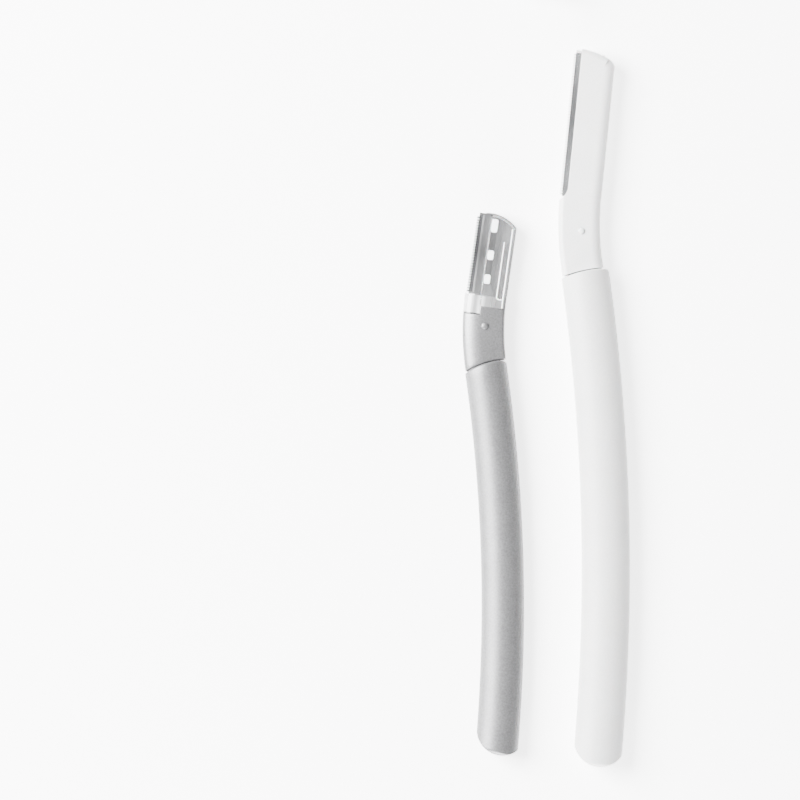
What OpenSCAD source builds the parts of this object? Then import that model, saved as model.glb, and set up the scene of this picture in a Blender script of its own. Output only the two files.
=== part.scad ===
// A set of two eyebrow razors, large and small, lying flat beside their caps.
// +Z is up from the table. +Y runs from a grip's end to the tip of its head, +X to the spine side.
// The origin is on the table, under the middle of the large grip's bow.

/* [Large grip] */
// Width of the grip, blade side to spine side
large_grip_width = 11.1; // [10:0.1:13]
// Thickness of the grip, and of the cap that lies level with it
large_grip_thickness = 7.4; // [7:0.1:8.5]
// Radius of the bow that the grip's centreline follows
large_grip_bow = 490; // [420:5:800]
// Length of the grip above the middle of its bow
large_grip_upper = 69.1; // [60:0.5:80]
// Length of the grip below the middle of its bow, to the centre of its end
large_grip_lower = 39.4; // [34:0.5:50]
// Wall beside the grip's bore
large_grip_wall = 1.5; // [1.2:0.1:1.7]
// Radius of the grip's sides, where they run into its domed top
large_grip_side_round = 2.6; // [2.3:0.1:3]
// Rounding of the grip's edges under its sides
large_grip_under_round = 1.6; // [1:0.1:2.2]
// How much the radius of the rounded end exceeds half of the grip's width
large_grip_end_extra = 0.55; // [0.4:0.05:2]
// Radius of the arched mouth where the neck goes in
large_mouth_radius = 30; // [22:0.5:45]

/* [Large neck] */
// Width of the neck
large_neck_width = 9.7; // [9.2:0.1:10]
// Thickness of the neck and of the head
large_neck_thickness = 4.2; // [3.6:0.1:4.2]
// Radius of the neck's bend
large_neck_bend = 66.7; // [60:0.5:90]
// Lean of the head from the neck's narrowest point, in degrees
large_head_lean = 5.75; // [4:0.25:7]
// Length of the tang inside the grip
large_tang_length = 24; // [16:0.5:32]
// Thickness of the tang
large_tang_thickness = 2.8; // [2.2:0.1:3]
// Diameter of the stud that the cap clicks over
large_stud_diameter = 1.4; // [1.2:0.1:2.2]
// Height of the stud above the neck
large_stud_height = 0.4; // [0.3:0.05:0.6]

/* [Large head] */
// Length of the head, from the neck's bend to the tip
large_head_length = 33.75; // [31.5:0.25:38]
// Radius of the crown at the tip
large_crown_radius = 20; // [18:0.5:26]
// Radius of the corner between the crown and the spine
large_corner_radius = 2.6; // [2.2:0.1:3.2]
// Rounding of the head's blade-side and crown edges
large_head_round = 1.2; // [0.6:0.1:1.4]
// Depth of the rounding along the neck's and head's spine
large_spine_round = 1.8; // [1:0.1:1.8]
// Width of that rounding, seen from above
large_spine_run = 2.4; // [1.8:0.1:2.6]
// Length of the blade
large_blade_length = 33; // [31.5:0.1:33.2]
// Width of the blade
large_blade_width = 6.6; // [6:0.1:7]
// Width of the blade that shows past the cheeks
large_blade_bare = 1.3; // [0.9:0.1:1.6]

/* [Small grip] */
// Width of the grip, blade side to spine side
small_grip_width = 9.8; // [9.4:0.1:11.2]
// Thickness of the grip, and of the cap that lies level with it
small_grip_thickness = 6.6; // [6.4:0.1:7.6]
// Radius of the bow that the grip's centreline follows
small_grip_bow = 382; // [330:5:600]
// Length of the grip above the middle of its bow
small_grip_upper = 56.3; // [48:0.5:66]
// Length of the grip below the middle of its bow, to the centre of its end
small_grip_lower = 28.5; // [24:0.5:38]
// Wall beside the grip's bore
small_grip_wall = 1.4; // [1.1:0.1:1.5]
// Radius of the grip's sides, where they run into its domed top
small_grip_side_round = 2.3; // [2:0.1:2.6]
// Rounding of the grip's edges under its sides
small_grip_under_round = 1.4; // [0.9:0.1:1.9]
// How much the radius of the rounded end exceeds half of the grip's width
small_grip_end_extra = 1.05; // [1:0.05:2.5]
// Radius of the arched mouth where the neck goes in
small_mouth_radius = 18.5; // [15:0.5:30]

/* [Small neck] */
// Width of the neck
small_neck_width = 9.7; // [9.2:0.1:9.8]
// Thickness of the neck and of the head
small_neck_thickness = 3.9; // [3.6:0.1:4]
// Radius of the neck's bend
small_neck_bend = 60.6; // [54:0.5:80]
// Depth of the rounding along the neck's blade side
small_neck_round = 1.5; // [0.6:0.1:1.6]
// Width of that rounding, seen from above
small_neck_run = 2.6; // [1.6:0.1:2.8]
// Lean of the head from the neck's narrowest point, in degrees
small_head_lean = 8.15; // [6.25:0.25:9.25]
// Length of the tang inside the grip
small_tang_length = 20; // [14:0.5:26]
// Thickness of the tang
small_tang_thickness = 2.6; // [2.4:0.1:2.8]
// Diameter of the stud that the cap clicks over
small_stud_diameter = 1.6; // [1.4:0.1:2.2]
// Height of the stud above the neck
small_stud_height = 0.4; // [0.3:0.05:0.5]

/* [Small head] */
// Length of the head, from the neck's bend to the tip
small_head_length = 18.6; // [17.5:0.1:22]
// Radius of the crown at the tip
small_crown_radius = 9.1; // [8.6:0.1:12]
// Radius of the corner between the crown and the spine
small_corner_radius = 1; // [0.9:0.1:1.6]
// Rounding of the head's edges
small_head_round = 0.6; // [0.3:0.1:0.7]
// Length of the blade
small_blade_length = 18; // [16.8:0.1:18]
// Width of the blade
small_blade_width = 5.7; // [5.4:0.1:6]
// Width of the blade that shows past the front cheek
small_blade_bare = 2.9; // [2.4:0.1:3]

/* [Guards] */
// Pitch of the guard teeth
tooth_pitch = 0.63; // [0.5:0.01:0.9]
// Share of the pitch that a tooth fills at its root
tooth_root_share = 0.76; // [0.5:0.02:0.8]
// Share of the pitch that a tooth fills at its tip
tooth_tip_share = 0.46; // [0.2:0.02:0.5]
// How far the teeth stand past the cutting edge
tooth_length = 0.5; // [0.4:0.05:0.7]
// Thickness of the guards
guard_thickness = 0.4; // [0.3:0.05:0.5]
// Thickness of the blades
blade_thickness = 0.25; // [0.2:0.01:0.3]
// Width of the ground bevel along a cutting edge
blade_bevel = 1.2; // [0.8:0.05:1.3]

/* [Caps] */
// Length of the large cap
large_cap_length = 48.8; // [40:0.1:49.4]
// Length of the small cap
small_cap_length = 32.6; // [28:0.1:33.2]
// Wall of a cap's sides
cap_wall = 0.9; // [0.7:0.05:1.1]
// Wall of a cap at its closed tip
cap_tip_wall = 1; // [0.8:0.05:1.4]
// Flare of a cap's spine side towards its mouth, in degrees
cap_flare = 1.8; // [1.6:0.1:2.6]
// Distance that the large cap lies past its seat
large_cap_travel = 68; // [60:1:90]
// Distance that the small cap lies past its seat
small_cap_travel = 84; // [70:1:110]

/* [Fits] */
// Clearance between a cap and what it slides over
cap_clearance = 0.3; // [0.25:0.05:0.4]
// Clearance between a tang's or a tongue's sides and its socket
socket_clearance = 0.1; // [0.05:0.05:0.2]
// Clearance between a lug and the windows that it passes through
lug_clearance = 0.08; // [0.05:0.01:0.12]
// Width of the groove at the seam between a neck and its grip's mouth
seam_gap = 0.25; // [0.15:0.05:0.35]

/* [Layout] */
// How far the small razor lies to the left of the large one
small_left = 23.75; // [20:0.25:60]
// How far the small razor lies below the large one
small_below = 8.4; // [0:0.1:20]

/* [Hidden] */
$fa = 0.6;
$fs = 0.3;
overrun = 1;
half_turn = 180;

// Roundings and margins that both razors share
grip_end_round = 1.2;
mouth_round = 0.35;
bore_round = 0.5;
bore_end_gap = 0.6;
bore_end_round = 0.35;
cap_round = 1.4;
cap_tip_round = 1.1;
stud_top_share = 0.7;
ease_steps = 8;
ease_run = 0.2;
ease_rise = 0.1;
neck_drop = 0.04;
neck_lap = 0.6;
collar_inset = 0.5;
collar_gap = 0.05;
corner_ease_share = 1.02;
lug_height = 0.8;
lug_root = 0.6;
guard_margin = 0.2;

// Places on the large razor
large_end_shift = 0.27;
large_mouth_shift = 2.7;
large_neck_shift = 0.5;
large_neck_start = 1.2;
large_stud_down = 8.2;
large_stud_shift = 0.45;
large_crown_shift = -5.05;
large_blade_edge = 0.55;
large_cheek_sweep = 4;
large_sweep_height = 1.9;
large_blade_foot = -0.4;
large_window_width = 1.6;
large_window_length = 2.3;
large_window_inset = 0.5;
large_window_shares = [0.16, 0.5, 0.84];
large_guard_grip = 1.35;
large_tab_length = 0.6;
large_tab_height = 0.7;
large_cheek_foot = -1.4;

// Places on the small razor
small_end_shift = 0.96;
small_mouth_shift = 3.3;
small_neck_shift = -0.05;
small_neck_start = -1.8;
small_stud_down = 7.45;
small_stud_shift = 0.25;
small_crown_shift = -1.6;
small_blade_edge = 0.8;
small_blade_foot = -0.25;
small_window_width = 1.55;
small_window_length = 2.3;
small_top_window_length = 3.2;
small_window_shares = [0.2, 0.51, 0.89];
small_neck_top = 3;
small_neck_step = 2;
small_step_place = -0.8;
small_tongue_length = 6;
small_tongue_width = 5.6;
small_tongue_thickness = 1.6;
small_guard_grip = 1.15;
small_tab_length = 0.5;
small_tab_height = 0.5;
small_cheek_foot = -0.9;
small_cheek_sweep = 0.3;
small_sweep_height = -0.02;
small_window_inset = 0.12;
small_back_bare = 1.5;
small_slot_width = 1.5;
small_slot_length = 13.2;
small_slot_foot = -1;
small_slot_depth = 0.7;
small_slot_round = 0.6;
small_rib_width = 0.85;

large = [
    ["grip_w", large_grip_width], ["grip_t", large_grip_thickness], ["bow", large_grip_bow],
    ["upper", large_grip_upper], ["lower", large_grip_lower], ["wall", large_grip_wall],
    ["side_round", large_grip_side_round], ["under_round", large_grip_under_round],
    ["end_r", large_grip_width / 2 + large_grip_end_extra], ["end_shift", large_end_shift],
    ["mouth_r", large_mouth_radius], ["mouth_shift", large_mouth_shift],
    ["neck_w", large_neck_width], ["neck_t", large_neck_thickness], ["bend", large_neck_bend],
    ["lean", large_head_lean], ["tang", large_tang_length],
    ["tang_t", large_tang_thickness], ["neck_shift", large_neck_shift],
    ["neck_start", large_neck_start], ["neck_round", large_head_round], ["neck_run", large_head_round],
    ["spine_round", large_spine_round], ["spine_run", min(large_spine_run, large_corner_radius - ease_run)],
    ["crown_round", large_head_round],
    ["stud_d", large_stud_diameter], ["stud_h", large_stud_height],
    ["stud_down", large_stud_down], ["stud_shift", large_stud_shift],
    ["head", large_head_length], ["crown", large_crown_radius], ["crown_shift", large_crown_shift],
    ["corner", large_corner_radius],
    ["blade_l", large_blade_length], ["blade_w", large_blade_width],
    ["blade_edge", large_blade_edge], ["blade_foot", large_blade_foot], ["bare", large_blade_bare],
    ["back_bare", large_blade_bare], ["guard_grip", large_guard_grip],
    ["window_w", large_window_width], ["window_l", large_window_length],
    ["top_window_l", large_window_length], ["window_inset", large_window_inset],
    ["window_shares", large_window_shares], ["cheek_foot", large_cheek_foot],
    ["tab_l", large_tab_length], ["tab_h", large_tab_height],
    ["cap_l", large_cap_length], ["travel", large_cap_travel]
];

small = [
    ["grip_w", small_grip_width], ["grip_t", small_grip_thickness], ["bow", small_grip_bow],
    ["upper", small_grip_upper], ["lower", small_grip_lower], ["wall", small_grip_wall],
    ["side_round", small_grip_side_round], ["under_round", small_grip_under_round],
    ["end_r", small_grip_width / 2 + small_grip_end_extra], ["end_shift", small_end_shift],
    ["mouth_r", small_mouth_radius], ["mouth_shift", small_mouth_shift],
    ["neck_w", small_neck_width], ["neck_t", small_neck_thickness], ["bend", small_neck_bend],
    ["lean", small_head_lean], ["tang", small_tang_length],
    ["tang_t", small_tang_thickness], ["neck_shift", small_neck_shift],
    ["neck_start", small_neck_start], ["neck_round", small_neck_round], ["neck_run", small_neck_run],
    ["spine_round", small_head_round], ["spine_run", small_head_round], ["crown_round", small_head_round],
    ["stud_d", small_stud_diameter], ["stud_h", small_stud_height],
    ["stud_down", small_stud_down], ["stud_shift", small_stud_shift],
    ["head", small_head_length], ["crown", small_crown_radius], ["crown_shift", small_crown_shift],
    ["corner", small_corner_radius],
    ["blade_l", small_blade_length], ["blade_w", small_blade_width],
    ["blade_edge", small_blade_edge], ["blade_foot", small_blade_foot], ["bare", small_blade_bare],
    ["back_bare", small_back_bare], ["guard_grip", small_guard_grip],
    ["window_w", small_window_width], ["window_l", small_window_length],
    ["top_window_l", small_top_window_length], ["window_inset", small_window_inset],
    ["window_shares", small_window_shares], ["cheek_foot", small_cheek_foot],
    ["tab_l", small_tab_length], ["tab_h", small_tab_height],
    ["cap_l", small_cap_length], ["travel", small_cap_travel]
];

// A razor's value by its name
function val(r, name) = r[search([name], r)[0]][1];
function polar(radius, angle) = [radius * cos(angle), radius * sin(angle)];
function turn(length, radius) = length / radius * half_turn / PI;

// Angles about the bow's centre
function seam_angle(r) = turn(val(r, "upper"), val(r, "bow"));
function end_angle(r) = -turn(val(r, "lower"), val(r, "bow"));
function mouth_angle(r) = seam_angle(r) - turn(val(r, "mouth_r"), val(r, "bow"));

// Plan places, with the middle of the bow at the origin
function bow_centre(r) = [-val(r, "bow"), 0];
function end_centre(r) = bow_centre(r) + polar(val(r, "bow") + val(r, "end_shift"), end_angle(r));
function mouth_centre(r) =
    bow_centre(r) + polar(val(r, "bow") + val(r, "mouth_shift"), mouth_angle(r));
function bend_centre(r) = bow_centre(r)
    + polar(val(r, "bow") + val(r, "bend") - val(r, "neck_shift"), seam_angle(r))
    + polar(val(r, "neck_start"), seam_angle(r) + 90);
function head_origin(r) = bend_centre(r) + polar(val(r, "bend"), half_turn - val(r, "lean"));

// Edges of the head, measured from its axis, and heights in the head
function head_left(r) = -val(r, "neck_w") / 2;
function head_right(r) = val(r, "neck_w") / 2;
function crown_centre(r) = [val(r, "crown_shift"), val(r, "head") - val(r, "crown")];
function edge_place(r) = head_left(r) + val(r, "blade_edge");
function teeth_place(r) = edge_place(r) - tooth_length;
function cheek_place(r) = edge_place(r) + val(r, "bare");
function back_place(r) = edge_place(r) + val(r, "back_bare");
function blade_back(r) = edge_place(r) + val(r, "blade_w");
function blade_top(r) = val(r, "blade_foot") + val(r, "blade_l");
function guard_back(r) = back_place(r) + val(r, "guard_grip");
function window_left(r) = cheek_place(r) + val(r, "window_inset");
function window_middle(r, i) = val(r, "blade_foot") + val(r, "blade_l") * val(r, "window_shares")[i];
function window_length(r, i) = i == 2 ? val(r, "top_window_l") : val(r, "window_l");

// Centre of the corner between a crown and a side that leans by flare towards the tip
function corner_centre(centre, crown, corner, right, flare) =
    let (s = tan(flare), a = right - corner / cos(flare) - centre[0], reach = crown - corner,
        m = (centre[1] + s * a), q = (a * a + centre[1] * centre[1] - reach * reach),
        y = (m + sqrt(m * m - (1 + s * s) * q)) / (1 + s * s))
    [a + centre[0] - s * y, y];

// Section of a grip: flat underside, rounded sides and a domed top that runs on from them
module domed(w, t, side, under) {
    reach = w / 2 - side;
    dome = (reach * reach + t * t / 4 - side * side) / (t - 2 * side);
    meet = reach * dome / (dome - side);
    intersection() {
        translate([0, t / 2 - dome]) circle(dome);
        translate([-meet, 0]) square([2 * meet, t]);
    }
    for (x = [-reach, reach]) translate([x, 0]) circle(side);
    for (x = [under - w / 2, w / 2 - under]) translate([x, under - t / 2]) circle(under);
    translate([under - w / 2, -t / 2]) square([w - 2 * under, under]);
    translate([-w / 2, under - t / 2]) square([w, t / 2 - under]);
}

// Upper half of an eased edge that ends at x = 0, round deep and run wide: short chords that run on
// past the face
function eased(t, round, run) = [for (i = [0 : ease_steps])
    let (a = i == ease_steps ? 90 : 90 * i / ease_steps)
    [run * (cos(a) - 1), t / 2 - round + round * sin(a)]];
function run_on(t, round, run) = let (a = 90 - 45 / ease_steps)
    [-run - ease_run * sin(a), t / 2 + ease_run * cos(a) * round / run];
function flip(points) = [for (i = [len(points) - 1 : -1 : 0]) [points[i][0], -points[i][1]]];

// Section of what an eased edge leaves out, from x = 0 outwards
module outside_edge(t, round, run) {
    upper = concat(eased(t, round, run), [run_on(t, round, run)]);
    high = t / 2 + overrun;
    polygon(concat([[upper[len(upper) - 1][0], -high]], flip(upper), upper,
        [[upper[len(upper) - 1][0], high], [t + overrun, high], [t + overrun, -high]]));
}

// Section of a flat bar with eased edges, as one outline
module eased_bar(left, right, t, left_round, left_run, right_round, right_run) {
    l = eased(t, left_round, left_run);
    r = eased(t, right_round, right_run);
    polygon(concat([for (q = flip(r)) [right + q[0], q[1]]], [for (q = r) [right + q[0], q[1]]],
        [for (i = [len(l) - 1 : -1 : 0]) [left - l[i][0], l[i][1]]],
        [for (q = l) [left - q[0], -q[1]]]));
}

// A section drawn out along +Y, from y0 to y1
module drawn(y0, y1) {
    translate([0, y1, 0]) rotate([90, 0, 0]) linear_extrude(y1 - y0) children();
}

// A section swept round a centre, between two angles
module swept(centre, radius, from, to) {
    translate([centre[0], centre[1], 0]) rotate([0, 0, from]) rotate_extrude(angle = to - from)
        translate([radius, 0]) children();
}

module at(place) {
    translate([place[0], place[1], 0]) children();
}

// What a rounded end leaves out on the +Y side of its centre
module beyond_end(radius, t, round) {
    reach = radius + t + overrun;
    difference() {
        translate([-reach, 0, -t]) cube([2 * reach, reach, 2 * t]);
        rotate_extrude() {
            upper = concat(eased(t, round, round), [run_on(t, round, round)]);
            last = upper[len(upper) - 1][0];
            polygon(concat([[0, -t - overrun], [radius + last, -t - overrun]],
                [for (q = flip(upper)) [radius + q[0], q[1]]], [for (q = upper) [radius + q[0], q[1]]],
                [[radius + last, t + overrun], [0, t + overrun]]));
        }
    }
}

// A flat blade-shaped body: straight left side, leaning right side, crowned tip
module paddle(left, right, flare, foot, centre, crown, corner, t, left_round, left_run, round, run,
    crown_round) {
    p = corner_centre(centre, crown, corner, right, flare);
    lean = atan2(p[1] - centre[1], p[0] - centre[0]);
    top = centre[1] + crown + overrun;
    wide = right - foot * tan(flare) + overrun;
    difference() {
        translate([left, foot, -t / 2]) cube([wide - left, top - foot, t]);
        drawn(foot - overrun, top + overrun) translate([left, 0]) mirror([1, 0])
            outside_edge(t, left_round, left_run);
        translate([right, 0, 0]) rotate([0, 0, flare]) drawn(foot - 2 * overrun, top + overrun)
            outside_edge(t, round, run);
        at(centre) beyond_end(crown, t, crown_round);
        if (corner > 0) swept(p, corner * corner_ease_share, flare, lean)
            outside_edge(t, round, run);
    }
}

// Frame of a razor's head: origin where the neck's bend ends, +Y to the tip, level with its middle
module in_head(r) {
    at(head_origin(r)) rotate([0, 0, -val(r, "lean")]) children();
}

// Everything of a razor is drawn about its middle height and then laid on the table
module lay(r) {
    translate([0, 0, val(r, "grip_t") / 2]) children();
}

module place_small() {
    translate([-small_left, -small_below, 0]) children();
}

// Half-space box in the head frame, from the given corner
module head_box(u0, u1, v0, v1, z0, z1) {
    translate([u0, v0, z0]) cube([u1 - u0, v1 - v0, z1 - z0]);
}

// Hollow grip with its rounded closed end and arched mouth
module grip(r) {
    t = val(r, "grip_t");
    w = val(r, "grip_w");
    wall = val(r, "wall");
    bow = val(r, "bow");
    difference() {
        swept(bow_centre(r), bow, end_angle(r) - turn(val(r, "end_r") + overrun, bow),
            seam_angle(r) + turn(overrun, bow))
            domed(w, t, val(r, "side_round"), val(r, "under_round"));
        at(end_centre(r)) rotate([0, 0, end_angle(r) + half_turn])
            beyond_end(val(r, "end_r"), t + ease_rise, grip_end_round);
        at(mouth_centre(r)) rotate([0, 0, mouth_angle(r)])
            beyond_end(val(r, "mouth_r"), t + ease_rise, mouth_round);
        swept(bow_centre(r), bow, seam_angle(r) - turn(val(r, "tang") + bore_end_gap, bow),
            seam_angle(r) + turn(2 * overrun, bow))
            eased_bar(wall - w / 2, w / 2 - wall, val(r, "tang_t"), bore_round, bore_round,
                bore_round, bore_round);
    }
}

// Flat tang that fills the grip's bore and holds the neck
module tang(r) {
    inset = val(r, "wall") + socket_clearance;
    w = val(r, "grip_w") / 2 - inset;
    bow = val(r, "bow");
    swept(bow_centre(r), bow, seam_angle(r) - turn(val(r, "tang"), bow),
        seam_angle(r) + turn(overrun, bow))
        eased_bar(-w, w, val(r, "tang_t"), bore_round, bore_round, bore_round, bore_round);
}

// Neck and head in one: bent neck from the arched seam, straight head with its crown
module body_form(r) {
    w = val(r, "neck_w");
    t = val(r, "neck_t");
    round = val(r, "neck_round");
    run = val(r, "neck_run");
    spine = val(r, "spine_round");
    spine_run = val(r, "spine_run");
    bend = val(r, "bend");
    difference() {
        swept(bend_centre(r), bend, half_turn - val(r, "lean") - turn(neck_lap, bend),
            half_turn + seam_angle(r) + turn(val(r, "neck_start") + w / 2, bend))
            mirror([1, 0])
                eased_bar(neck_drop - w / 2, w / 2 - neck_drop, t - 2 * neck_drop, round, run,
                    spine, spine_run);
        at(mouth_centre(r)) translate([0, 0, -t]) cylinder(r = val(r, "mouth_r") + seam_gap, h = 2 * t);
    }
    collar(r);
    in_head(r) paddle(head_left(r), head_right(r), 0, 0, crown_centre(r), val(r, "crown"),
        val(r, "corner"), t, round, run, spine, spine_run, val(r, "crown_round"));
}

// Recessed collar at the foot of the neck, which closes the groove at the seam from inside
module collar(r) {
    w = val(r, "neck_w");
    t = val(r, "neck_t");
    bend = val(r, "bend");
    difference() {
        swept(bend_centre(r), bend, half_turn + seam_angle(r) - turn(w / 2, bend),
            half_turn + seam_angle(r) + turn(val(r, "neck_start") + w / 2, bend))
            eased_bar(collar_inset - w / 2, w / 2 - collar_inset, t - 2 * collar_inset,
                bore_round, bore_round, bore_round, bore_round);
        at(mouth_centre(r)) translate([0, 0, -t])
            cylinder(r = val(r, "mouth_r") + collar_gap, h = 2 * t);
    }
}

// Stud on the neck's face that the cap clicks over
module stud(r) {
    radius = val(r, "bend") - val(r, "stud_shift");
    at(bend_centre(r) + polar(radius, half_turn - val(r, "lean") + turn(val(r, "stud_down"), radius)))
        translate([0, 0, val(r, "neck_t") / 2 - overrun]) {
            cylinder(d = val(r, "stud_d"), h = overrun + val(r, "stud_h") / 2);
            translate([0, 0, overrun + val(r, "stud_h") / 2])
                cylinder(d1 = val(r, "stud_d"), d2 = val(r, "stud_d") * stud_top_share,
                    h = val(r, "stud_h") / 2);
        }
}

// Lugs through the blade's windows; grow widens and lengthens them for the windows and pockets
module lugs(r, z0, z1, grow) {
    for (i = [0 : 2])
        head_box(window_left(r) + lug_clearance - grow,
            window_left(r) + val(r, "window_w") - lug_clearance + grow,
            window_middle(r, i) - window_length(r, i) / 2 + lug_clearance - grow,
            window_middle(r, i) + window_length(r, i) / 2 - lug_clearance + grow, z0, z1);
}

// What the front cheek leaves open on the blade side, with its swept foot
module front_opening(r, sweep, height) {
    t = val(r, "neck_t");
    head_box(head_left(r) - overrun, cheek_place(r), height, val(r, "head") + overrun,
        -blade_thickness / 2, t);
    translate([cheek_place(r) - sweep, height, -blade_thickness / 2]) cylinder(r = sweep, h = t);
}

// Room for the blade under the front cheek
module blade_room(r) {
    head_box(head_left(r) - overrun, blade_back(r) + lug_clearance, val(r, "blade_foot") - lug_clearance,
        blade_top(r) + lug_clearance, -blade_thickness / 2 - overrun, blade_thickness / 2);
}

// Half of the head that the back cheek takes
module back_zone(r) {
    t = val(r, "neck_t");
    head_box(head_left(r) - overrun, head_right(r) + overrun, val(r, "cheek_foot"),
        val(r, "head") + overrun, -t, -blade_thickness / 2);
}

// Back cheek with the lugs that locate the blade and a bed for the guard
module back_cheek(r) {
    t = val(r, "neck_t");
    mid = blade_thickness / 2;
    difference() {
        intersection() {
            body_form(r);
            in_head(r) back_zone(r);
        }
        in_head(r) {
            head_box(head_left(r) - overrun, back_place(r), val(r, "cheek_foot") - overrun,
                val(r, "head") + overrun, -t, t);
            head_box(head_left(r) - overrun, guard_back(r) + lug_clearance,
                val(r, "blade_foot") - guard_margin - lug_clearance,
                val(r, "head") + overrun, -mid - guard_thickness, t);
        }
    }
    in_head(r) lugs(r, -mid - lug_root, mid + lug_height, 0);
}

// Thin blade with one ground edge and three windows
module blade(r) {
    edge = edge_place(r);
    back = blade_back(r);
    half = blade_thickness / 2;
    in_head(r) difference() {
        drawn(val(r, "blade_foot"), blade_top(r))
            polygon([[edge, 0], [edge + blade_bevel, half], [back, half], [back, -half],
                [edge + blade_bevel, -half]]);
        lugs(r, -blade_thickness, blade_thickness, lug_clearance);
    }
}

// Toothed guard bedded behind the blade, its teeth standing past the cutting edge, cut out round the lugs
module guard(r) {
    root = edge_place(r);
    foot = val(r, "blade_foot") - guard_margin;
    top = blade_top(r) + lug_clearance + val(r, "tab_l");
    count = floor((blade_top(r) - foot) / tooth_pitch);
    half = blade_thickness / 2;
    function tooth(y) = [[root, y - tooth_pitch * tooth_root_share / 2],
        [teeth_place(r), y - tooth_pitch * tooth_tip_share / 2],
        [teeth_place(r), y + tooth_pitch * tooth_tip_share / 2],
        [root, y + tooth_pitch * tooth_root_share / 2]];
    in_head(r) {
        difference() {
            translate([0, 0, -half - guard_thickness]) linear_extrude(guard_thickness)
                polygon(concat([[root, foot]],
                    [for (i = [0 : count - 1]) each tooth(foot + (i + 1) * tooth_pitch)],
                    [[root, top], [guard_back(r), top], [guard_back(r), foot]]));
            lugs(r, -half - lug_root, half, lug_clearance);
        }
        head_box(root, min(cheek_place(r) - lug_clearance, guard_back(r)), blade_top(r) + lug_clearance,
            top, -half - guard_thickness, val(r, "tab_h"));
    }
}

// Sleeve cap that slides over the head and clicks over the stud, drawn where it is seated
module cap(r) {
    t = val(r, "grip_t");
    inner_t = val(r, "neck_t") + 2 * cap_clearance;
    tip = val(r, "head") + cap_clearance + cap_tip_wall;
    mouth = tip - val(r, "cap_l");
    spine = val(r, "bend") - val(r, "neck_w") / 2;
    reach = val(r, "bend") - sqrt(spine * spine - mouth * mouth);
    bend_y = corner_centre(crown_centre(r), val(r, "crown"), val(r, "corner"), head_right(r), 0)[1];
    flare = atan((reach - head_right(r)) / (bend_y - mouth));
    inner = reach + cap_clearance + mouth * tan(flare);
    left = teeth_place(r) - cap_clearance;
    stud_r = val(r, "bend") - val(r, "stud_shift");
    stud_a = turn(val(r, "stud_down"), stud_r);
    stud_u = val(r, "bend") - stud_r * cos(stud_a);
    stud_v = -stud_r * sin(stud_a);
    groove = val(r, "stud_d") + 2 * cap_clearance;
    difference() {
        paddle(left - cap_wall, inner + cap_wall / cos(flare), flare, mouth, crown_centre(r),
            val(r, "crown") + cap_clearance + cap_tip_wall, 0, t, cap_round, cap_round, cap_round,
            cap_round, cap_tip_round);
        paddle(left, inner, flare, mouth - overrun, crown_centre(r), val(r, "crown") + cap_clearance, 0,
            inner_t, bore_round, bore_round, bore_round, bore_round, bore_end_round);
        head_box(stud_u - groove / 2, stud_u + groove / 2, mouth - overrun, stud_v + groove / 2, 0,
            val(r, "neck_t") / 2 + val(r, "stud_h") + cap_clearance);
    }
}

// Step where the small holder meets its neck: high on the spine side, low on the blade side
module neck_step(r) {
    t = val(r, "neck_t");
    wide = val(r, "neck_w");
    head_box(-wide, wide, -small_neck_top, val(r, "head") + overrun, -t, t);
    head_box(-wide, small_step_place, -small_neck_top - small_neck_step, overrun - small_neck_top, -t, t);
}

// Tongue of the small holder, and with grow its socket in the neck
module tongue(r, grow) {
    head_box(-small_tongue_width / 2 - grow, small_tongue_width / 2 + grow,
        -small_neck_top - small_neck_step - small_tongue_length - grow, overrun - small_neck_top,
        -small_tongue_thickness / 2, small_tongue_thickness / 2);
}

module large_grip() {
    color("whitesmoke") lay(large) grip(large);
}

module large_frame() {
    color("white") lay(large) {
        difference() {
            body_form(large);
            in_head(large) {
                back_zone(large);
                front_opening(large, large_cheek_sweep, large_sweep_height);
                blade_room(large);
                lugs(large, -blade_thickness, blade_thickness / 2 + lug_height + lug_clearance,
                    lug_clearance);
            }
        }
        tang(large);
        stud(large);
    }
}

module large_back_cheek() {
    color("gainsboro") lay(large) back_cheek(large);
}

module large_blade() {
    color("silver") lay(large) blade(large);
}

module large_guard() {
    color("lightgray") lay(large) guard(large);
}

module large_cap() {
    color("lightcyan") lay(large) in_head(large) translate([0, large_cap_travel, 0]) cap(large);
}

module small_grip() {
    color("darkgray") place_small() lay(small) grip(small);
}

module small_neck() {
    color("gray") place_small() lay(small) {
        difference() {
            body_form(small);
            in_head(small) {
                neck_step(small);
                tongue(small, socket_clearance);
            }
        }
        difference() {
            tang(small);
            in_head(small) tongue(small, socket_clearance);
        }
        stud(small);
    }
}

module small_holder() {
    color("lightblue") place_small() lay(small) {
        difference() {
            intersection() {
                body_form(small);
                in_head(small) neck_step(small);
            }
            in_head(small) {
                back_zone(small);
                front_opening(small, small_cheek_sweep, small_sweep_height);
                blade_room(small);
                lugs(small, -blade_thickness, blade_thickness / 2 + lug_height + lug_clearance,
                    lug_clearance);
                slot(small);
            }
        }
        in_head(small) tongue(small, 0);
    }
}

// Shallow slot beside the spine of the small holder
module slot(r) {
    t = val(r, "neck_t");
    right = head_right(r) - small_rib_width;
    left = right - small_slot_width;
    round = small_slot_round;
    top = small_slot_foot + small_slot_length;
    floor_z = t / 2 - small_slot_depth;
    head_box(left, right, small_slot_foot + round, top, floor_z, t);
    head_box(left + round, right, small_slot_foot, top, floor_z, t);
    translate([left + round, small_slot_foot + round, floor_z]) cylinder(r = round, h = t);
}

module small_back_cheek() {
    color("powderblue") place_small() lay(small) back_cheek(small);
}

module small_blade() {
    color("silver") place_small() lay(small) blade(small);
}

module small_guard() {
    color("dimgray") place_small() lay(small) guard(small);
}

module small_cap() {
    color("lightcyan") place_small() lay(small) in_head(small)
        translate([0, small_cap_travel, 0]) cap(small);
}

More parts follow.
